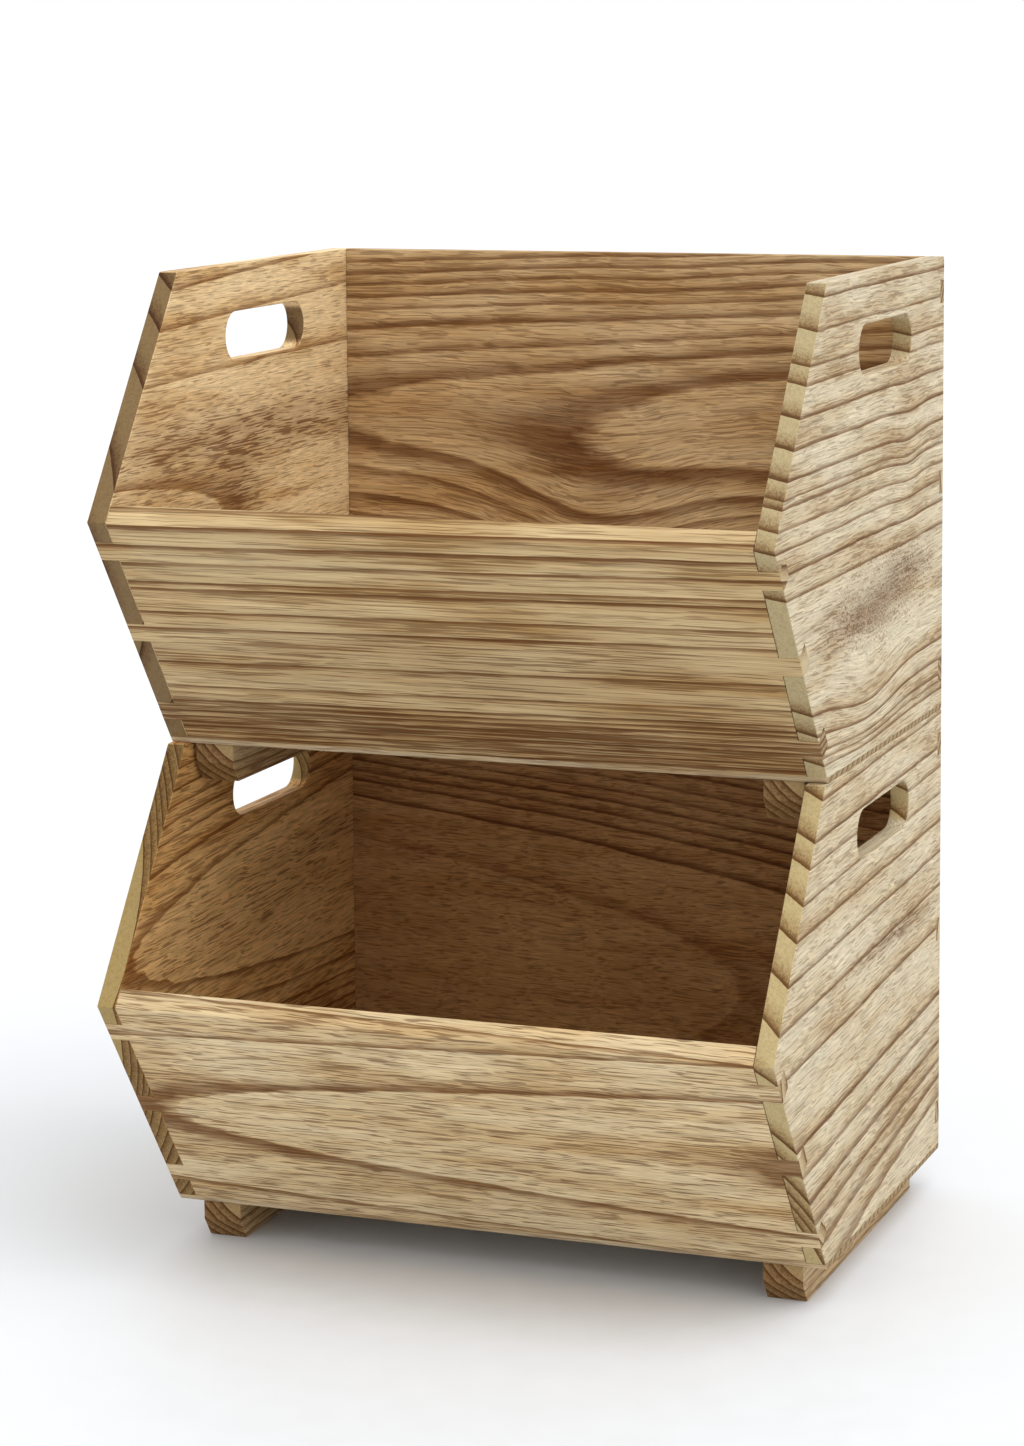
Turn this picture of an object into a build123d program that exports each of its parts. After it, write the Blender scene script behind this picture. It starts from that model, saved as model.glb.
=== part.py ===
from build123d import *
import math
import os

# Two slant-fronted wooden crates, one stacked on the other.
# Frame: millimetres, +Z up, front towards -Y, origin at the middle of the stack's footprint on the floor.

# ---------------------------------------------------------------- driving dimensions

# Outline of one crate, seen from the side: upright back, level top, front leaning out and back again
crate_width = 450.0
crate_depth = 397.0
crate_height = 311.0
belly_height = 160.0        # the furthest forward point of the front, above the underside of the base
front_slope = 36.0          # degrees from upright, the same below and above the belly

# Boards
panel_thickness = 13.0
front_thickness = 13.0
back_thickness = 10.0
base_thickness = 4.0

# Rounding
corner_radius = 2.0         # corners of the side outline
belly_radius = 1.0
arris_radius = 0.8          # long outside edges, sanded after the joints are closed
inner_arris_radius = 0.6
base_arris_radius = 0.35

# Box joints
joint_gap = 0.3
front_tab_count = 3
front_tab_height = 15.3
front_tab_margin = 16.8     # from the belly, and from the base, to the nearest tab
back_tab_count = 3
back_tab_height = 15.0
back_tab_margin = 16.0      # from the top edge, and from the base, to the nearest tab

# Hand slots, right through each side panel
slot_length = 128.0
slot_height = 32.5
slot_drop = 48.0            # from the top edge to the slot's centre line
slot_from_back = 150.0      # from the back to the slot's middle
slot_arris_radius = 1.0

# Runners, under the base
runner_width = 26.8
runner_height = 26.2
runner_side_clearance = 3.2     # to the side panel of the crate below
runner_back_clearance = 6.0     # to the back board of the crate below
runner_front_setback = 2.3
runner_nose_rise = 13.2
runner_nose_run = 9.3
runner_arris_radius = 0.8

# Countersunk wood screws, down through the base into the runners
screws_per_runner = 3
screw_end_margin = 32.0
screw_length = 20.0
screw_head_radius = 3.5
screw_crest_radius = 1.75
screw_core_radius = 1.2
screw_thread_pitch = 1.6
screw_tip_length = 3.0
screw_recess_length = 3.8
screw_recess_width = 0.9
screw_recess_depth = 1.5
screw_clearance = 0.05

# Panel pins, up through the base into the lower edges of the boards
pins_per_side = 4
pins_per_board = 4
pin_end_margin = 30.0
pin_length = 22.0
pin_radius = 0.6
pin_head_radius = 1.1
pin_head_height = 0.7
pin_tip_length = 1.6
pin_slant_sink = 0.9            # a slanted pin is driven this much deeper, to bury its tilted head
pin_clearance = 0.05

# ---------------------------------------------------------------- places worked out from them

half_width = crate_width / 2
inner_half_width = half_width - panel_thickness
lean = math.tan(math.radians(front_slope))
lean_sin = math.sin(math.radians(front_slope))
lean_cos = math.cos(math.radians(front_slope))

back_y = crate_depth / 2
base_under_z = runner_height
base_top_z = base_under_z + base_thickness
top_z = base_under_z + crate_height
belly_y = back_y - crate_depth
belly_z = base_under_z + belly_height
foot_y = belly_y + belly_height * lean
brow_y = belly_y + (crate_height - belly_height) * lean

slot_middle_y = back_y - slot_from_back
slot_middle_z = top_z - slot_drop

front_board_length = (belly_height - base_thickness) / lean_cos
back_board_height = crate_height - base_thickness
overrun = panel_thickness + front_thickness     # how far a slab or a cutter runs past the wood

# Local Y climbs the front board from the base to the belly, and the back board from the base to the top
front_plane = Plane(origin=(0, belly_y, belly_z), x_dir=(1, 0, 0), z_dir=(0, -lean_cos, -lean_sin))
back_plane = Plane(origin=(0, back_y, base_top_z), x_dir=(-1, 0, 0), z_dir=(0, 1, 0))

runner_outer_x = inner_half_width - runner_side_clearance
runner_middle_x = runner_outer_x - runner_width / 2
runner_front_y = foot_y + runner_front_setback
runner_back_y = back_y - back_thickness - runner_back_clearance


def spread(first, last, count):
    """Evenly spaced values from first to last, both included."""
    step = (last - first) / (count - 1)
    return [first + step * index for index in range(count)]


front_tab_centres = spread(
    -front_tab_margin - front_tab_height / 2,
    -front_board_length + front_tab_margin + front_tab_height / 2,
    front_tab_count,
)
back_tab_centres = spread(
    back_tab_margin + back_tab_height / 2,
    back_board_height - back_tab_margin - back_tab_height / 2,
    back_tab_count,
)

screw_points = [
    (side * runner_middle_x, y)
    for side in (-1, 1)
    for y in spread(runner_front_y + screw_end_margin, runner_back_y - screw_end_margin, screws_per_runner)
]

# Each pin is a plane: its origin is on the underside of the base, its Z runs up the pin
side_pins = [
    Plane(origin=(side * (half_width - panel_thickness / 2), y, base_under_z))
    for side in (-1, 1)
    for y in spread(foot_y + pin_end_margin, back_y - pin_end_margin, pins_per_side)
]
board_pin_xs = spread(pin_end_margin - inner_half_width, inner_half_width - pin_end_margin, pins_per_board)
back_pins = [Plane(origin=(x, back_y - back_thickness / 2, base_under_z)) for x in board_pin_xs]
front_pins = [
    Plane(
        origin=(x, foot_y + front_thickness / 2 / lean_cos, base_under_z),
        x_dir=(1, 0, 0),
        z_dir=(0, -lean_sin, lean_cos),
    ).offset(pin_slant_sink)
    for x in board_pin_xs
]
pin_planes = side_pins + back_pins + front_pins


# ---------------------------------------------------------------- shared shapes

def crate_block():
    """One crate as a solid block with its outside edges eased: its boards and base are cut from it."""
    with BuildPart() as block:
        with BuildSketch(Plane.YZ) as outline:
            with BuildLine():
                Polyline(
                    (belly_y, belly_z),
                    (foot_y, base_under_z),
                    (back_y, base_under_z),
                    (back_y, top_z),
                    (brow_y, top_z),
                    close=True,
                )
            make_face()
            fillet(outline.vertices().sort_by(Axis.X)[1:], corner_radius)
            fillet(outline.vertices().sort_by(Axis.X)[0:1], belly_radius)
        extrude(amount=half_width, both=True)
        ends = block.faces().sort_by(Axis.X)
        fillet(ends[0].edges() + ends[-1].edges(), arris_radius)
    return block.part


def notch_cutter(board_plane, tab_centres, tab_height, board_thickness):
    """Cuts the notches for one board's through tabs out of both side panels."""
    with BuildPart() as cutter:
        with BuildSketch(board_plane.offset(overrun)):
            with Locations([(0, centre) for centre in tab_centres]):
                Rectangle(crate_width + 2 * overrun, tab_height + 2 * joint_gap)
        extrude(amount=-overrun - board_thickness - joint_gap)
    return cutter.part


def tabbed_slab(board_plane, tab_centres, tab_height, board_thickness, board_height):
    """A board between the side panels with its through tabs, too tall until the block trims it."""
    with BuildPart() as slab:
        with BuildSketch(board_plane):
            with Locations((0, (tab_centres[0] + tab_centres[-1]) / 2)):
                Rectangle(2 * (inner_half_width - joint_gap), board_height + 2 * overrun)
            with Locations([(0, centre) for centre in tab_centres]):
                Rectangle(crate_width, tab_height)
        extrude(amount=-board_thickness)
    return slab.part


def turned(profile):
    """A solid turned about Z from a half outline of (radius, height) points."""
    with BuildPart() as body:
        with BuildSketch(Plane.XZ):
            with BuildLine():
                Polyline(*profile, close=True)
            make_face()
        revolve(axis=Axis.Z)
    return body.part


# ---------------------------------------------------------------- fasteners

def wood_screw():
    """A countersunk cross-head screw: the flat of its head is at the origin, and it points down."""
    neck_z = screw_crest_radius - screw_head_radius
    thread_end_z = screw_tip_length - screw_length
    ridge_count = int((-base_thickness - thread_end_z) / screw_thread_pitch)
    profile = [(0, 0), (screw_head_radius, 0), (screw_crest_radius, neck_z), (screw_crest_radius, -base_thickness)]
    for ridge in range(ridge_count):
        ridge_z = -base_thickness - screw_thread_pitch * ridge
        profile.append((screw_core_radius, ridge_z - screw_thread_pitch / 2))
        profile.append((screw_crest_radius, ridge_z - screw_thread_pitch))
    profile.append((screw_core_radius, thread_end_z))
    profile.append((0, -screw_length))
    with BuildPart() as screw:
        add(turned(profile))
        with BuildSketch(Plane.XY):
            Rectangle(screw_recess_length, screw_recess_width)
            Rectangle(screw_recess_width, screw_recess_length)
        extrude(amount=-screw_recess_depth, mode=Mode.SUBTRACT)
    return screw.part


def screw_hole():
    """The countersunk hole that clears the wood screw."""
    crest = screw_crest_radius + screw_clearance
    head = screw_head_radius + screw_clearance
    return turned([
        (0, overrun),
        (head, overrun),
        (head, 0),
        (crest, crest - head),
        (crest, screw_tip_length - screw_length),
        (0, -screw_length - screw_clearance),
    ])


def panel_pin():
    """A headed pin standing on its head at the origin, point up."""
    return turned([
        (0, 0),
        (pin_head_radius, 0),
        (pin_head_radius, pin_head_height),
        (pin_radius, pin_head_height),
        (pin_radius, pin_length - pin_tip_length),
        (0, pin_length),
    ])


def pin_hole():
    """The hole that clears the pin and lets its head in from below."""
    head = pin_head_radius + pin_clearance
    shank = pin_radius + pin_clearance
    return turned([
        (0, -overrun),
        (head, -overrun),
        (head, pin_head_height + pin_clearance),
        (shank, pin_head_height + pin_clearance),
        (shank, pin_length - pin_tip_length),
        (0, pin_length + pin_clearance),
    ])


# ---------------------------------------------------------------- the pieces of one crate, in the lower crate's place

block = crate_block()
pin_bore = pin_hole()
screw_bore = screw_hole()

with BuildPart() as upper_block:
    add(block)
    split(bisect_by=Plane.XY.offset(base_top_z), keep=Keep.TOP)

with BuildPart() as right_side_panel:
    add(upper_block.part)
    split(bisect_by=Plane.YZ.offset(inner_half_width), keep=Keep.TOP)
    rim = [
        edge
        for edge in right_side_panel.faces().sort_by(Axis.X)[0].edges()
        if edge.center().Z > belly_z and edge.center().Y < back_y - corner_radius
    ]
    fillet(rim, inner_arris_radius)
    with BuildSketch(Plane.YZ.offset(inner_half_width)):
        with Locations((slot_middle_y, slot_middle_z)):
            SlotOverall(slot_length, slot_height)
    extrude(amount=panel_thickness, mode=Mode.SUBTRACT)
    slot_edges = (
        right_side_panel.edges()
        .filter_by_position(Axis.Z, slot_middle_z - slot_height, slot_middle_z + slot_height)
        .filter_by_position(Axis.Y, slot_middle_y - slot_length / 2, slot_middle_y + slot_length / 2)
    )
    fillet(slot_edges - slot_edges.filter_by(Axis.X), slot_arris_radius)
    add(notch_cutter(front_plane, front_tab_centres, front_tab_height, front_thickness), mode=Mode.SUBTRACT)
    add(notch_cutter(back_plane, back_tab_centres, back_tab_height, back_thickness), mode=Mode.SUBTRACT)
    with Locations(side_pins):
        add(pin_bore, mode=Mode.SUBTRACT)

with BuildPart() as left_side_panel:
    mirror(right_side_panel.part, about=Plane.YZ)

with BuildPart() as front_board:
    add(tabbed_slab(front_plane, front_tab_centres, front_tab_height, front_thickness, front_board_length))
    add(upper_block.part, mode=Mode.INTERSECT)
    top_back_edge = front_board.edges().filter_by(Axis.X).group_by(Axis.Z)[-1].sort_by(Axis.Y)[-1]
    fillet(top_back_edge, inner_arris_radius)
    with Locations(front_pins):
        add(pin_bore, mode=Mode.SUBTRACT)

with BuildPart() as back_board:
    add(tabbed_slab(back_plane, back_tab_centres, back_tab_height, back_thickness, back_board_height))
    add(upper_block.part, mode=Mode.INTERSECT)
    top_front_edge = back_board.edges().filter_by(Axis.X).group_by(Axis.Z)[-1].sort_by(Axis.Y)[0]
    fillet(top_front_edge, inner_arris_radius)
    with Locations(back_pins):
        add(pin_bore, mode=Mode.SUBTRACT)

with BuildPart() as base_panel:
    add(block)
    split(bisect_by=Plane.XY.offset(base_top_z), keep=Keep.BOTTOM)
    fillet(base_panel.faces().sort_by(Axis.Z)[-1].edges(), base_arris_radius)
    with Locations([(x, y, base_top_z) for x, y in screw_points]):
        add(screw_bore, mode=Mode.SUBTRACT)
    with Locations(pin_planes):
        add(pin_bore, mode=Mode.SUBTRACT)

with BuildPart() as right_runner:
    with BuildSketch(Plane.YZ.offset(runner_outer_x)):
        with BuildLine():
            Polyline(
                (runner_front_y, base_under_z),
                (runner_front_y, runner_nose_rise),
                (runner_front_y + runner_nose_run, 0),
                (runner_back_y, 0),
                (runner_back_y, base_under_z),
                close=True,
            )
        make_face()
    extrude(amount=-runner_width)
    fillet(right_runner.edges() - right_runner.faces().sort_by(Axis.Z)[-1].edges(), runner_arris_radius)
    with Locations([(x, y, base_top_z) for x, y in screw_points if x > 0]):
        add(screw_bore, mode=Mode.SUBTRACT)

with BuildPart() as left_runner:
    mirror(right_runner.part, about=Plane.YZ)

with BuildPart() as runner_screws:
    with Locations([(x, y, base_top_z) for x, y in screw_points]):
        add(wood_screw())

with BuildPart() as panel_pins:
    with Locations(pin_planes):
        add(panel_pin())

# ---------------------------------------------------------------- the two crates of the stack

crate_pieces = {
    "left_side_panel": left_side_panel.part,
    "right_side_panel": right_side_panel.part,
    "front_board": front_board.part,
    "back_board": back_board.part,
    "base_panel": base_panel.part,
    "left_runner": left_runner.part,
    "right_runner": right_runner.part,
    "runner_screws": runner_screws.part,
    "panel_pins": panel_pins.part,
}

os.makedirs("parts", exist_ok=True)
for crate_name, lift in (("lower", 0), ("upper", crate_height)):
    for piece_name, piece in crate_pieces.items():
        with BuildPart() as placed:
            with Locations((0, 0, lift)):
                add(piece)
        placed.part.label = crate_name + "_" + piece_name
        export_step(placed.part, "parts/" + placed.part.label + ".step")
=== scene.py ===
"""The looks of two stacked slant-front wooden crates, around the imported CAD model."""

import math
from dataclasses import dataclass
from typing import NamedTuple

import bpy
from mathutils import Matrix, Vector


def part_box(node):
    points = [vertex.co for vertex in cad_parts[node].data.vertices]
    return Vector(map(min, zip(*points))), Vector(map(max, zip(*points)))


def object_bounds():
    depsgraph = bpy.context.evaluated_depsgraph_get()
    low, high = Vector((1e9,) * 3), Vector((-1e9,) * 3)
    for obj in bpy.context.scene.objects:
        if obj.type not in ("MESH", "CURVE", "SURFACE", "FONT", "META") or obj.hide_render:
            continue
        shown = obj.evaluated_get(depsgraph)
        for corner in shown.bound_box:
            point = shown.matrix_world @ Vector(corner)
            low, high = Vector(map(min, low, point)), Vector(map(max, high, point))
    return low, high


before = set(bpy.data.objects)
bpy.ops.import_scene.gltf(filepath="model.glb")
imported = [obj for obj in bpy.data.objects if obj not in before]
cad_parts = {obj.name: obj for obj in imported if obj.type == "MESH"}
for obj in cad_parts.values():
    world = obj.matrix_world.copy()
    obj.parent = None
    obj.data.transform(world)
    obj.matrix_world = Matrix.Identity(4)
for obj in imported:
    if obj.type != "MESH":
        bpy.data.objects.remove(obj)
cad_low, cad_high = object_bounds()

CRATES = ("lower", "upper")
FRONT_SLOPE = math.radians(36)


# ---------------------------------------------------------------- node trees


class Tree:
    """A node tree being built. Any value may be a number, a colour, or another node's output."""

    def __init__(self, tree):
        self.nodes = tree.nodes
        self.links = tree.links
        self.nodes.clear()

    def add(self, kind, **settings):
        node = self.nodes.new(kind)
        for name, value in settings.items():
            setattr(node, name, value)
        return node

    def put(self, socket, value):
        if isinstance(value, bpy.types.NodeSocket):
            self.links.new(value, socket)
        else:
            socket.default_value = value

    def math(self, operation, *values, clamp=False):
        node = self.add("ShaderNodeMath", operation=operation, use_clamp=clamp)
        for socket, value in zip(node.inputs, values):
            self.put(socket, value)
        return node.outputs[0]

    def vector(self, operation, *values):
        node = self.add("ShaderNodeVectorMath", operation=operation)
        for socket, value in zip(node.inputs, values):
            self.put(socket, value)
        return node.outputs["Value" if operation in ("LENGTH", "DOT_PRODUCT") else "Vector"]

    def combine(self, x, y, z):
        node = self.add("ShaderNodeCombineXYZ")
        for socket, value in zip(node.inputs, (x, y, z)):
            self.put(socket, value)
        return node.outputs[0]

    def split(self, vector):
        node = self.add("ShaderNodeSeparateXYZ")
        self.put(node.inputs[0], vector)
        return node.outputs[0], node.outputs[1], node.outputs[2]

    def noise(self, vector, scale=1.0, detail=2.0, roughness=0.5, distortion=0.0, output=0):
        node = self.add("ShaderNodeTexNoise", noise_dimensions="3D")
        self.put(node.inputs["Vector"], vector)
        self.put(node.inputs["Scale"], scale)
        self.put(node.inputs["Detail"], detail)
        self.put(node.inputs["Roughness"], roughness)
        self.put(node.inputs["Distortion"], distortion)
        return node.outputs[output]

    def random(self, w):
        node = self.add("ShaderNodeTexWhiteNoise", noise_dimensions="1D")
        self.put(node.inputs["W"], w)
        return node.outputs["Value"]

    def spread(self, value, low, high, to_low=0.0, to_high=1.0, smooth=True):
        """Maps low..high of value to to_low..to_high, and holds it there outside."""
        node = self.add("ShaderNodeMapRange")
        node.interpolation_type = "SMOOTHSTEP" if smooth else "LINEAR"
        names = ("Value", "From Min", "From Max", "To Min", "To Max")
        for name, setting in zip(names, (value, low, high, to_low, to_high)):
            self.put(node.inputs[name], setting)
        return node.outputs[0]

    def mix(self, share, first, second, blend="MIX"):
        node = self.add("ShaderNodeMix", data_type="RGBA", blend_type=blend)
        first_colour, second_colour, mixed_colour = node.inputs[6], node.inputs[7], node.outputs[2]
        self.put(node.inputs["Factor"], share)
        self.put(first_colour, first)
        self.put(second_colour, second)
        return mixed_colour

    def tint(self, colour, tone):
        return self.mix(1.0, colour, tone, "MULTIPLY")

    def ramp(self, value, *stops):
        """stops are (place, level) pairs."""
        node = self.add("ShaderNodeValToRGB")
        self.put(node.inputs[0], value)
        elements = node.color_ramp.elements
        for place, level in stops[1:-1]:
            elements.new(place)
        for element, (place, level) in zip(elements, stops):
            element.position = place
            element.color = (level, level, level, 1)
        return node.outputs[0]


def srgb(red, green, blue):
    """A colour from its 0 to 255 screen values."""
    def linear(value):
        share = value / 255
        return share / 12.92 if share <= 0.04045 else ((share + 0.055) / 1.055) ** 2.4
    return (linear(red), linear(green), linear(blue), 1.0)


# ---------------------------------------------------------------- wood


class Swirl(NamedTuple):
    """An oval place where the grain is bent: pushed across by so many metres, and curly by so many."""

    middle: float
    up: float
    half_length: float
    half_height: float
    push: float
    curl: float = 0.0


class Stain(NamedTuple):
    """An oval brown patch."""

    middle: float
    up: float
    half_length: float
    half_height: float
    strength: float


@dataclass
class Board:
    """How one board was cut from its log, in the board's own frame.

    x runs along the grain, z across the board and y through it. All lengths are in metres.
    """

    origin: Vector
    turn: tuple                     # the frame's rotation, in degrees
    heart: tuple                    # the log's centre at x 0: across, through
    rings: tuple                    # where years begin, from the centre outwards
    climb: float = 0.0              # how far the centre moves through, per metre of grain
    lean: float = 0.0               # and across
    width: float = 0.0016           # how thick a year's dark growth is
    crisp: float = 0.15             # how much of that is its sharp side
    lines: float = 0.85             # how dark the lines are
    wander: float = 0.003           # slow waves in the rings
    tone: tuple = (1.0, 1.0, 1.0)   # tint of the long grain; where outside is set, only on the faces inside the crate, as painted light and shade
    flecks: float = 0.5             # how dark the open pores are
    many: float = 0.0               # how much more of them show
    length: float = 0.03            # how long the pores are
    curl: float = 0.002             # how far they wave
    faint: float = 0.0              # inside this radius the lines are weak
    ends: tuple = (0.86, 0.87, 0.8)  # tint of the end grain
    outside: tuple = ()             # tint of the face looking out of the crate; tone then paints light and shade on the faces inside it
    seed: float = 0.0
    swirls: tuple = ()
    stains: tuple = ()


CREAM = srgb(212, 197, 168)
HONEY = srgb(188, 160, 117)
EARLY = srgb(106, 68, 32)
OPEN_PORE = srgb(98, 62, 28)
END_PALE = srgb(192, 172, 134)
END_BROWN = srgb(138, 100, 54)
END_DARK = srgb(84, 54, 28)

# Noises drawn out along the grain: cells per metre along it, and across it
WAVE_CELLS = (6.0, 16.0)
RIPPLE_CELLS = (30.0, 110.0)
CLOUD_CELLS = (7.0, 45.0)
DRIFT_CELLS = (28.0, 55.0)
FRIZZ_CELLS = (130.0, 210.0)
END_ROW_CELLS = (60.0, 520.0)
PORES_ACROSS = 860.0
FIBRES_ACROSS = 1050.0

SEED_STEP = 3.17                # moves the noises on from one board to the next
RIPPLE = 0.0005                 # small waves in the rings
POROUS = 0.012                  # how far into a year its pores stay large
FAINT_EDGE = 0.006              # half the width over which weak lines become full ones
FAINT_LEVEL = 0.25              # how much is left of a weak line
WEAKEST = 0.75                  # the least dark a year's line can be, by year and by place
POROUS_OPENS = 0.05             # how much more pores show in porous wood
STAIN_OPENS = 0.06              # and in a stain
PORE_LEVELS = (0.54, 0.64)      # the noise levels between which a pore opens
STAIN_BROWN = 0.42              # how far a stain turns the wood brown
STAIN_PORES = 0.35              # how much darker its pores are
FIBRE_SHADES = (0.62, 1.34)     # the darkest and the lightest fibre, as a share of the colour
SIDE_TO_END = (0.5, 0.8)        # how far a face looks along the grain when side turns into end grain
ROUGHNESS = (0.55, 0.85)        # of smooth wood and of open pores
PORE_DEPTH = -0.6               # relief of the pores, the early wood and the fibres, as a share of RELIEF
EARLY_DEPTH = -0.15
FIBRE_HEIGHT = 0.8
RELIEF = 0.0004                 # how deep the brushing is

# How dark a year is from its start outwards, after its sharp side: (share of twice the width, level)
LINE_FADE = ((0.35, 0.85), (0.5, 0.45), (0.7, 0.15), (1.0, 0.0))


def bell(tree, point, oval):
    """1 at the middle of an oval, falling to 0 outside it."""
    x, _, z = point
    dx = tree.math("DIVIDE", tree.math("SUBTRACT", x, oval.middle), oval.half_length)
    dz = tree.math("DIVIDE", tree.math("SUBTRACT", z, oval.up), oval.half_height)
    square = tree.math("MULTIPLY_ADD", dx, dx, tree.math("MULTIPLY", dz, dz))
    return tree.math("EXPONENT", tree.math("MULTIPLY", square, -1.0))


def stretched(tree, point, along, across, shift=0.0):
    """A point for a noise that is drawn out along the grain: along and across are cells per metre."""
    x, y, z = point
    return tree.combine(
        tree.math("MULTIPLY_ADD", x, along, shift),
        tree.math("MULTIPLY", y, across),
        tree.math("MULTIPLY_ADD", z, across, shift),
    )


def centred(tree, noise, size):
    """A noise moved to lie about 0, as a distance of that size."""
    return tree.math("MULTIPLY", tree.math("SUBTRACT", noise, 0.5), 2 * size)


def year_at(tree, radius, rings):
    """The radius where this year began, and how far outside it the point is. The last year repeats."""
    begun = rings[0]
    for before, ring in zip(rings, rings[1:]):
        passed = tree.math("GREATER_THAN", radius, ring)
        begun = tree.math("MULTIPLY_ADD", passed, ring - before, begun)
    beyond = tree.math("MAXIMUM", tree.math("SUBTRACT", radius, rings[-1]), 0.0)
    repeats = tree.math("SNAP", beyond, rings[-1] - rings[-2])
    year = tree.math("ADD", begun, repeats)
    return year, tree.math("SUBTRACT", radius, year)


def in_board_frame(tree, board, position):
    place = tree.add("ShaderNodeMapping", vector_type="TEXTURE")
    tree.put(place.inputs["Vector"], position)
    place.inputs["Location"].default_value = board.origin
    place.inputs["Rotation"].default_value = [math.radians(angle) for angle in board.turn]
    return tree.split(place.outputs[0])


def bent_grain(tree, board, point, shift):
    """The height across the board after slow waves and swirls, and how curly the grain is there."""
    waves = tree.noise(stretched(tree, point, *WAVE_CELLS, shift), detail=2.0)
    bent = tree.math("ADD", point[2], centred(tree, waves, board.wander))
    curly = 0.0
    for swirl in board.swirls:
        oval = bell(tree, point, swirl)
        bent = tree.math("MULTIPLY_ADD", oval, swirl.push, bent)
        curly = tree.math("MULTIPLY_ADD", oval, swirl.curl, curly)
    return bent, curly


def yearly_growth(tree, board, point, bent, off_through, cloud, shift):
    """Each year starts sharply with a dark line of open pores and fades outwards to pale wood."""
    ripples = tree.noise(stretched(tree, point, *RIPPLE_CELLS, shift), detail=3.0)
    heart_across = tree.math("MULTIPLY_ADD", point[0], board.lean, board.heart[0])
    off_across = tree.math("SUBTRACT", bent, heart_across)
    distance = tree.vector("LENGTH", tree.combine(0.0, off_through, off_across))
    radius = tree.math("ADD", distance, centred(tree, ripples, RIPPLE))
    year, grown = year_at(tree, radius, board.rings)
    chance = tree.random(tree.math("MULTIPLY_ADD", year, 1000.0, board.seed))
    vigour = tree.spread(chance, 0.0, 1.0, WEAKEST, 1.0, smooth=False)
    fading = tree.spread(cloud, 0.3, 0.6, WEAKEST, 1.0)
    share = tree.math("DIVIDE", grown, tree.math("MULTIPLY", vigour, board.width))
    sharp_side = (0.5 * board.crisp, 1.0)
    line = tree.ramp(tree.math("MULTIPLY", share, 0.5), (0.0, 0.0), sharp_side, *LINE_FADE)
    porous = tree.spread(grown, 0.0, POROUS, 1.0, 0.0, smooth=False)
    porous = tree.math("MULTIPLY", porous, tree.math("GREATER_THAN", grown, 0.0))
    band = tree.math("MULTIPLY", tree.math("MULTIPLY", line, vigour), fading)
    if board.faint:
        low, high = board.faint - FAINT_EDGE, board.faint + FAINT_EDGE
        clear = tree.spread(distance, low, high, FAINT_LEVEL, 1.0)
        band = tree.math("MULTIPLY", band, clear)
    return band, porous


def pores_and_fibres(tree, board, point, bent, curly, off_through, shift):
    """Long pores that the plane cut open are fine dashes, and the fibres between them are streaks."""
    drifts = tree.noise(stretched(tree, point, *DRIFT_CELLS, shift), detail=2.0)
    frizz = tree.noise(stretched(tree, point, *FRIZZ_CELLS, shift), detail=1.0)
    drift = tree.math("MULTIPLY_ADD", centred(tree, frizz, 1.0), curly, centred(tree, drifts, board.curl))
    waved = (point[0], tree.math("ADD", off_through, drift), tree.math("ADD", bent, drift))
    along = 1.0 / board.length
    for_dash = stretched(tree, waved, along, PORES_ACROSS, shift)
    for_fibre = stretched(tree, waved, 0.4 * along, FIBRES_ACROSS, shift)
    dash = tree.noise(for_dash, detail=1.0, roughness=0.5)
    fibre = tree.noise(for_fibre, detail=2.0, roughness=0.7)
    return dash, fibre


def stained_patch(tree, board, point, cloud):
    patch = 0.0
    for stain in board.stains:
        oval = bell(tree, point, stain)
        ragged = tree.math("MULTIPLY", tree.math("ADD", centred(tree, cloud, 0.4), oval), stain.strength)
        patch = tree.math("ADD", patch, tree.math("MAXIMUM", ragged, 0.0), clamp=True)
    return patch


def open_dashes(tree, board, dash, cloud, porous, patch):
    """More pores show in a year's porous wood, in cloudy patches and in stains."""
    cloudy = tree.spread(cloud, 0.3, 0.7, board.many - 0.03, board.many + 0.03)
    openness = tree.math("MULTIPLY_ADD", porous, POROUS_OPENS, cloudy)
    openness = tree.math("MULTIPLY_ADD", patch, STAIN_OPENS, openness)
    return tree.spread(tree.math("ADD", dash, openness), *PORE_LEVELS)


def long_grain_colour(tree, board, normal, cloud, band, porous, dashes, fibre, patch):
    warmth = tree.math("MULTIPLY_ADD", porous, 0.15, cloud)
    pale = tree.mix(tree.spread(warmth, 0.35, 0.85), CREAM, HONEY)
    banded = tree.mix(tree.math("MULTIPLY", band, board.lines), pale, EARLY)
    stained = tree.mix(tree.math("MULTIPLY", patch, STAIN_BROWN), banded, EARLY)
    darkest = tree.math("MULTIPLY_ADD", patch, STAIN_PORES, board.flecks)
    open_pores = tree.math("MULTIPLY", dashes, darkest, clamp=True)
    flecked = tree.mix(open_pores, stained, OPEN_PORE)
    shade = tree.spread(fibre, 0.25, 0.75, *FIBRE_SHADES, smooth=False)
    grained = tree.tint(flecked, tree.combine(shade, shade, shade))
    # On boards with an outside tint, tone holds only on the faces inside the crate, where it is painted
    # light and shade; the outward faces get the outside tint.
    tone = (*board.tone, 1.0)
    if board.outside:
        looks_out = tree.vector("DOT_PRODUCT", normal, through_direction(board))
        tone = tree.mix(tree.spread(looks_out, 0.4, 0.6), tone, (*board.outside, 1.0))
    return tree.tint(grained, tone)


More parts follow.
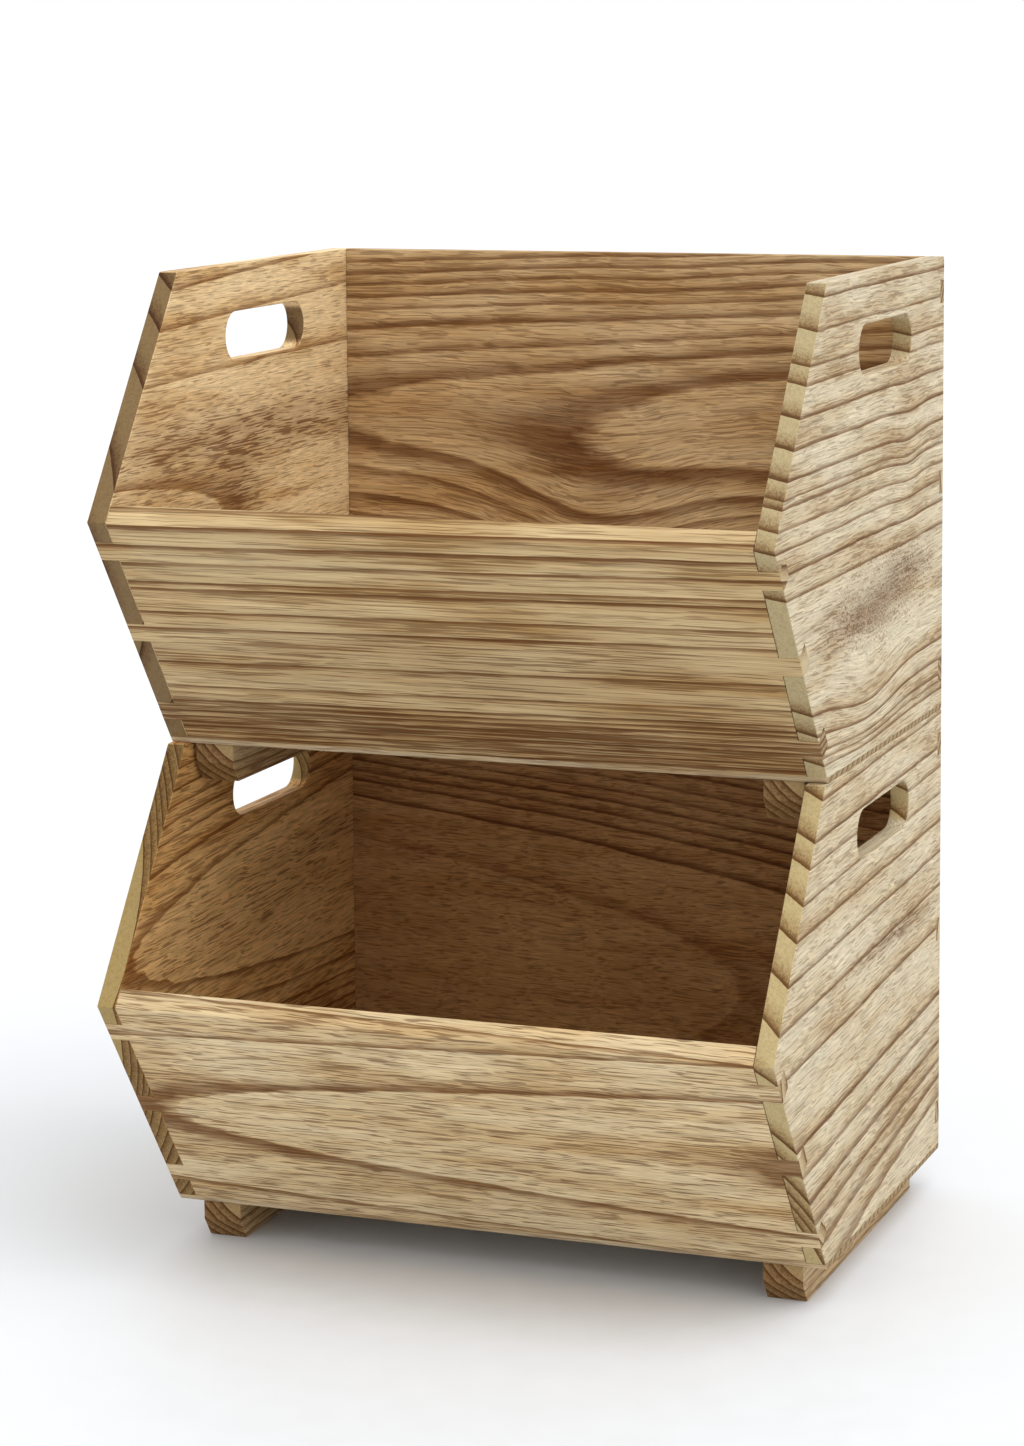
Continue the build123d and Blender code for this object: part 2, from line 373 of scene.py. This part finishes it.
def end_grain_colour(tree, board, point, band, porous):
    """Greyer, browner where each year starts, with wavy rows of open pores."""
    rows = tree.noise(stretched(tree, point, *END_ROW_CELLS), detail=1.0, distortion=1.2)
    pores = tree.spread(rows, 0.46, 0.58)
    young = tree.math("POWER", porous, 1.6)
    pale = tree.mix(young, END_PALE, END_BROWN)
    banded = tree.mix(tree.math("MULTIPLY", band, board.lines), pale, END_DARK)
    how_dark = tree.math("MULTIPLY_ADD", young, 0.5, 0.16)
    dotted = tree.mix(tree.math("MULTIPLY", pores, how_dark), banded, OPEN_PORE)
    return tree.tint(dotted, (*board.ends, 1.0))


def brushed_relief(tree, band, dashes, fibre):
    """Pores and soft early wood are sunk, and the fibres stand up."""
    relief = tree.math("MULTIPLY", dashes, PORE_DEPTH)
    relief = tree.math("MULTIPLY_ADD", band, EARLY_DEPTH, relief)
    relief = tree.math("MULTIPLY_ADD", fibre, FIBRE_HEIGHT, relief)
    bump = tree.add("ShaderNodeBump")
    bump.inputs["Strength"].default_value = 0.5
    bump.inputs["Distance"].default_value = RELIEF
    tree.put(bump.inputs["Height"], relief)
    return bump.outputs[0]


def wood(name, board):
    """The board's material, with the log's rings running through all its faces."""
    material = bpy.data.materials.new(name)
    material.use_nodes = True
    tree = Tree(material.node_tree)
    coordinate = tree.add("ShaderNodeTexCoord")
    normal = coordinate.outputs["Normal"]
    point = in_board_frame(tree, board, coordinate.outputs["Object"])
    x, y, _ = point
    shift = board.seed * SEED_STEP

    cloud = tree.noise(stretched(tree, point, *CLOUD_CELLS, -shift), detail=3.0, roughness=0.6)
    bent, curly = bent_grain(tree, board, point, shift)
    off_through = tree.math("SUBTRACT", y, tree.math("MULTIPLY_ADD", x, board.climb, board.heart[1]))
    band, porous = yearly_growth(tree, board, point, bent, off_through, cloud, shift)
    dash, fibre = pores_and_fibres(tree, board, point, bent, curly, off_through, shift)
    patch = stained_patch(tree, board, point, cloud)
    dashes = open_dashes(tree, board, dash, cloud, porous, patch)

    long_grain = long_grain_colour(tree, board, normal, cloud, band, porous, dashes, fibre, patch)
    end_grain = end_grain_colour(tree, board, point, band, porous)
    facing = tree.vector("DOT_PRODUCT", normal, grain_direction(board))
    end = tree.spread(tree.math("ABSOLUTE", facing), *SIDE_TO_END)
    roughness = tree.spread(tree.math("ADD", band, dashes), 0.0, 1.2, *ROUGHNESS, smooth=False)

    shader = tree.add("ShaderNodeBsdfPrincipled")
    tree.put(shader.inputs["Base Color"], tree.mix(end, long_grain, end_grain))
    tree.put(shader.inputs["Roughness"], roughness)
    tree.put(shader.inputs["Normal"], brushed_relief(tree, band, dashes, fibre))
    shader.inputs["Specular IOR Level"].default_value = 0.22
    output = tree.add("ShaderNodeOutputMaterial")
    tree.links.new(shader.outputs[0], output.inputs["Surface"])
    return material


def grain_direction(board):
    """Along the grain, in world axes. The boards' frames only turn this axis about Z."""
    angle = math.radians(board.turn[2])
    return Vector((math.cos(angle), math.sin(angle), 0.0))


def through_direction(board):
    """Through the board, in world axes, for the boards whose frame is only turned about Z."""
    angle = math.radians(board.turn[2])
    return Vector((-math.sin(angle), math.cos(angle), 0.0))


SIDE_TURN = (0, 0, 90)
FRONT_TURN = (math.degrees(FRONT_SLOPE), 0, 0)
BACK_TURN = (0, 0, 0)
BASE_TURN = (90, 0, 0)


def low_corner(node):
    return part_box(node)[0]


def belly_corner(crate):
    """The left end of a front board's outer top edge. Its face rises forwards from the base."""
    board_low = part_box(crate + "_front_board")[0]
    base_low, base_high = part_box(crate + "_base_panel")
    rise = (base_low.y - board_low.y) / math.tan(FRONT_SLOPE)
    return Vector((board_low.x, board_low.y, base_high.z + rise))


def even_rings(first, last, count):
    return tuple(first + (last - first) * step / count for step in range(count + 1))


panel_low, panel_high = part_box("upper_right_side_panel")
PANEL = panel_high.x - panel_low.x
RIGHT_OUTSIDE = Vector((PANEL, 0, 0))

TAB_ENDS = (1.0, 1.0, 0.93)     # the front and back boards' end grain, seen in the side panels

BOARDS = {
    "upper_front_board": Board(
        belly_corner("upper"),
        FRONT_TURN,
        heart=(0.0565, 0.09),
        lean=0.02,
        rings=(0.095, 0.107, 0.117, 0.127, 0.139, 0.1435, 0.160, 0.172, 0.199, 0.219, 0.231, 0.2355,
               0.2395, 0.245, 0.249, 0.2535, 0.258, 0.263),
        width=0.0023,
        lines=1.0,
        wander=0.0012,
        tone=(0.9, 0.79, 0.6),
        ends=TAB_ENDS,
        flecks=0.5,
        length=0.06,
        curl=0.0007,
        seed=1,
        stains=(Stain(0.22, -0.11, 0.3, 0.03, 0.4), Stain(0.2, -0.175, 0.5, 0.02, 0.75)),
    ),
    "lower_front_board": Board(
        belly_corner("lower"),
        FRONT_TURN,
        heart=(-0.0995, 0.2156),
        climb=-0.0237,
        rings=(0.193, 0.2048, 0.2153, 0.2275, 0.238, 0.25),
        width=0.0016,
        crisp=0.2,
        lines=1.0,
        wander=0.0012,
        tone=(1.06, 0.99, 0.85),
        ends=TAB_ENDS,
        flecks=0.65,
        curl=0.0012,
        seed=2,
    ),
    "upper_right_side_panel": Board(
        low_corner("upper_right_side_panel") + RIGHT_OUTSIDE,
        SIDE_TURN,
        heart=(-0.294, 0.1),
        lean=0.006,
        rings=(0.318, 0.3233, 0.328, 0.3381, 0.3515, 0.4273, 0.4428, 0.4575, 0.4697, 0.4819, 0.487,
               0.4972, 0.5142, 0.5319, 0.5501, 0.5606, 0.5803, 0.5994),
        width=0.0023,
        lines=0.95,
        wander=0.002,
        tone=(0.93, 0.93, 0.9),
        flecks=0.35,
        seed=3,
        swirls=(Swirl(0.304, 0.186, 0.035, 0.05, 0.004), Swirl(0.208, 0.046, 0.07, 0.035, 0.013),
                Swirl(0.24, 0.096, 0.08, 0.024, 0.0, 0.012)),
        stains=(Stain(0.2, 0.093, 0.09, 0.02, 1.0), Stain(0.3, 0.108, 0.06, 0.012, 1.0)),
    ),
    "lower_right_side_panel": Board(
        low_corner("lower_right_side_panel") + RIGHT_OUTSIDE,
        SIDE_TURN,
        heart=(-0.024, 0.16),
        climb=-0.04,
        rings=(0.155, 0.1602, 0.1661, 0.1731, 0.1832, 0.1944, 0.2293, 0.2521, 0.2722, 0.2913, 0.3078,
               0.3245, 0.3371, 0.358, 0.38),
        width=0.0022,
        lines=0.95,
        wander=0.002,
        tone=(0.93, 0.93, 0.9),
        ends=(0.93, 0.92, 0.77),
        flecks=0.35,
        seed=4,
        stains=(Stain(0.28, 0.176, 0.09, 0.008, 0.8),),
    ),
    "upper_left_side_panel": Board(
        low_corner("upper_left_side_panel"),
        SIDE_TURN,
        heart=(0.124, 0.138 - PANEL),
        climb=0.05,
        lean=0.1,
        rings=(0.125, 0.1465, 0.1757, 0.1977, 0.2149, 0.2335, 0.252),
        width=0.0022,
        lines=0.75,
        wander=0.002,
        # The inner face's tone is painted light: far brighter than the outside tint of the same wood.
        tone=(1.32, 1.18, 0.96),
        outside=(0.95, 0.93, 0.87),
        ends=(0.4, 0.32, 0.22),
        flecks=0.45,
        many=-0.02,
        length=0.12,
        curl=0.0006,
        seed=5,
        stains=(Stain(0.22, 0.192, 0.3, 0.02, 1.0), Stain(0.2, 0.16, 0.03, 0.03, 1.0)),
    ),
    "lower_left_side_panel": Board(
        low_corner("lower_left_side_panel"),
        SIDE_TURN,
        heart=(0.179, 0.2007 - PANEL),
        climb=-0.026,
        rings=(0.2, 0.2051, 0.2098, 0.2135, 0.2175, 0.222, 0.228, 0.234),
        width=0.0009,
        lines=0.95,
        # The inner face's tone is painted shade: a redder, deeper brown than the outside tint of the same
        # wood.
        tone=(1.36, 1.02, 0.62),
        outside=(0.95, 0.92, 0.84),
        ends=(0.71, 0.64, 0.41),
        seed=6,
        stains=(Stain(0.2, 0.18, 0.25, 0.03, 0.4), Stain(0.36, 0.2, 0.06, 0.01, 0.6)),
    ),
    "upper_back_board": Board(
        low_corner("upper_back_board"),
        BACK_TURN,
        heart=(0.190, 0.1402),
        climb=-0.026,
        rings=(0.1290, 0.1349, 0.140, 0.1449, 0.1513, 0.157, 0.1615, 0.1665, 0.171, 0.176, 0.182),
        width=0.0022,
        crisp=0.25,
        lines=0.9,
        wander=0.004,
        # The inner face's tone is painted shade: browner than the outside tint of the same wood.
        tone=(0.98, 0.83, 0.65),
        outside=(0.95, 0.9, 0.8),
        ends=TAB_ENDS,
        flecks=0.4,
        seed=7,
        swirls=(Swirl(0.2, 0.105, 0.08, 0.08, 0.03),),
        stains=(Stain(0.19, 0.165, 0.03, 0.02, 0.7),),
    ),
    "lower_back_board": Board(
        low_corner("lower_back_board"),
        BACK_TURN,
        heart=(0.096, 0.156),
        climb=0.088,
        rings=(0.183, 0.200, 0.2077, 0.2127, 0.2178, 0.223, 0.229, 0.236, 0.243),
        width=0.0018,
        crisp=0.25,
        lines=1.0,
        # The inner face's tone is painted shade: much darker and more orange than the outside tint of the
        # same wood.
        tone=(0.77, 0.5, 0.28),
        outside=(0.93, 0.88, 0.78),
        ends=TAB_ENDS,
        flecks=0.45,
        faint=0.195,
        seed=8,
    ),
}
for number, crate in enumerate(CRATES):
    BOARDS[crate + "_base_panel"] = Board(
        low_corner(crate + "_base_panel"),
        BASE_TURN,
        heart=(0.2, 0.3),
        rings=even_rings(0.3, 0.5, 26),
        lines=0.5,
        tone=(0.9, 0.86, 0.82),
        flecks=0.4,
        seed=10 + number,
    )
    for hand, side in enumerate(("left", "right")):
        node = crate + "_" + side + "_runner"
        BOARDS[node] = Board(
            low_corner(node),
            SIDE_TURN,
            heart=(0.06, -0.05),
            rings=even_rings(0.05, 0.1, 9),
            lines=0.8,
            tone=(0.82, 0.7, 0.54),
            ends=(0.7, 0.6, 0.45),
            flecks=0.4,
            seed=20 + 2 * number + hand,
        )


# ---------------------------------------------------------------- fasteners


def plated_steel(name, tint, roughness):
    """Zinc-plated steel: slightly blotchy, with fine scratches."""
    material = bpy.data.materials.new(name)
    material.use_nodes = True
    tree = Tree(material.node_tree)
    coordinate = tree.add("ShaderNodeTexCoord")
    blotch = tree.noise(coordinate.outputs["Object"], scale=900.0, detail=3.0)
    scratch_at = tree.vector("MULTIPLY", coordinate.outputs["Object"], (4000.0, 500.0, 4000.0))
    scratch = tree.noise(scratch_at, detail=2.0)
    dark = tuple(0.7 * channel for channel in tint[:3]) + (1.0,)
    shader = tree.add("ShaderNodeBsdfPrincipled")
    tree.put(shader.inputs["Base Color"], tree.mix(tree.spread(blotch, 0.35, 0.65), dark, tint))
    scratched = tree.spread(scratch, 0.3, 0.7, roughness - 0.08, roughness + 0.12)
    tree.put(shader.inputs["Roughness"], scratched)
    shader.inputs["Metallic"].default_value = 1.0
    bump = tree.add("ShaderNodeBump")
    bump.inputs["Strength"].default_value = 0.2
    bump.inputs["Distance"].default_value = 0.00005
    tree.put(bump.inputs["Height"], scratch)
    tree.put(shader.inputs["Normal"], bump.outputs[0])
    output = tree.add("ShaderNodeOutputMaterial")
    tree.links.new(shader.outputs[0], output.inputs["Surface"])
    return material


def give(node, material):
    """Puts the material on every slot of a CAD node."""
    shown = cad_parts[node]
    for slot in shown.material_slots:
        slot.material = material
    if not shown.material_slots:
        shown.data.materials.append(material)


for node, board in BOARDS.items():
    give(node, wood(node + "_wood", board))
zinc = plated_steel("yellow_zinc", srgb(206, 190, 150), 0.34)
bright = plated_steel("bright_steel", srgb(190, 190, 188), 0.3)
for crate in CRATES:
    give(crate + "_runner_screws", zinc)
    give(crate + "_panel_pins", bright)


# ---------------------------------------------------------------- floor, light and camera


FLOOR_GAP = 0.0002              # keeps the floor from flickering through the runners' soles


def pale_floor():
    mesh = bpy.data.meshes.new("floor")
    half = 60.0
    corners = [(-half, -half, 0), (half, -half, 0), (half, half, 0), (-half, half, 0)]
    mesh.from_pydata(corners, [], [(0, 1, 2, 3)])
    floor = bpy.data.objects.new("floor", mesh)
    bpy.context.scene.collection.objects.link(floor)
    floor.location.z = cad_low.z - FLOOR_GAP
    material = bpy.data.materials.new("pale_floor")
    material.use_nodes = True
    tree = Tree(material.node_tree)
    coordinate = tree.add("ShaderNodeTexCoord")
    grain = tree.noise(coordinate.outputs["Object"], scale=40.0, detail=4.0)
    shader = tree.add("ShaderNodeBsdfPrincipled")
    tree.put(shader.inputs["Base Color"], tree.mix(grain, srgb(224, 227, 231), srgb(228, 231, 235)))
    tree.put(shader.inputs["Roughness"], tree.spread(grain, 0.3, 0.7, 0.5, 0.6))
    output = tree.add("ShaderNodeOutputMaterial")
    tree.links.new(shader.outputs[0], output.inputs["Surface"])
    mesh.materials.append(material)


def soft_sun(name, from_azimuth, elevation, softness, strength):
    """An even light from far away. Azimuth 0 shines from the front and 90 from the right, in degrees."""
    data = bpy.data.lights.new(name, "SUN")
    data.angle = math.radians(softness)
    data.energy = strength
    light = bpy.data.objects.new(name, data)
    bpy.context.scene.collection.objects.link(light)
    azimuth, height = math.radians(from_azimuth), math.radians(elevation)
    sideways = math.sin(azimuth) * math.cos(height)
    frontways = math.cos(azimuth) * math.cos(height)
    towards = Vector((sideways, -frontways, math.sin(height)))
    light.rotation_euler = (-towards).to_track_quat("-Z", "Y").to_euler()


def surroundings():
    """Even white light from all sides."""
    world = bpy.data.worlds.new("surroundings")
    bpy.context.scene.world = world
    world.use_nodes = True
    background = world.node_tree.nodes["Background"]
    background.inputs["Color"].default_value = (1.0, 1.0, 1.0, 1.0)
    background.inputs["Strength"].default_value = 1.0


def make_camera():
    """To the right of the front and a little above the stack, looking down slightly."""
    data = bpy.data.cameras.new("camera")
    data.sensor_width = 36.0
    data.lens = 94.7
    data.shift_y = -0.15
    data.clip_end = 200.0
    camera = bpy.data.objects.new("camera", data)
    bpy.context.scene.collection.objects.link(camera)
    bpy.context.scene.camera = camera
    yaw = math.radians(20.77)
    pitch = math.radians(-7.04)
    roll = math.radians(-0.42)
    ahead = Vector((-math.sin(yaw) * math.cos(pitch), math.cos(yaw) * math.cos(pitch), math.sin(pitch)))
    level = ahead.cross(Vector((0, 0, 1))).normalized()
    rise = level.cross(ahead)
    right = math.cos(roll) * level + math.sin(roll) * rise
    up = math.cos(roll) * rise - math.sin(roll) * level
    turn = Matrix((right, up, -ahead)).transposed()
    camera.matrix_world = Matrix.Translation((0.8645, -2.318, 0.7982)) @ turn.to_4x4()


pale_floor()
surroundings()
soft_sun("key", from_azimuth=66, elevation=61, softness=45, strength=1.4)
make_camera()
bpy.context.scene.view_settings.view_transform = "Standard"
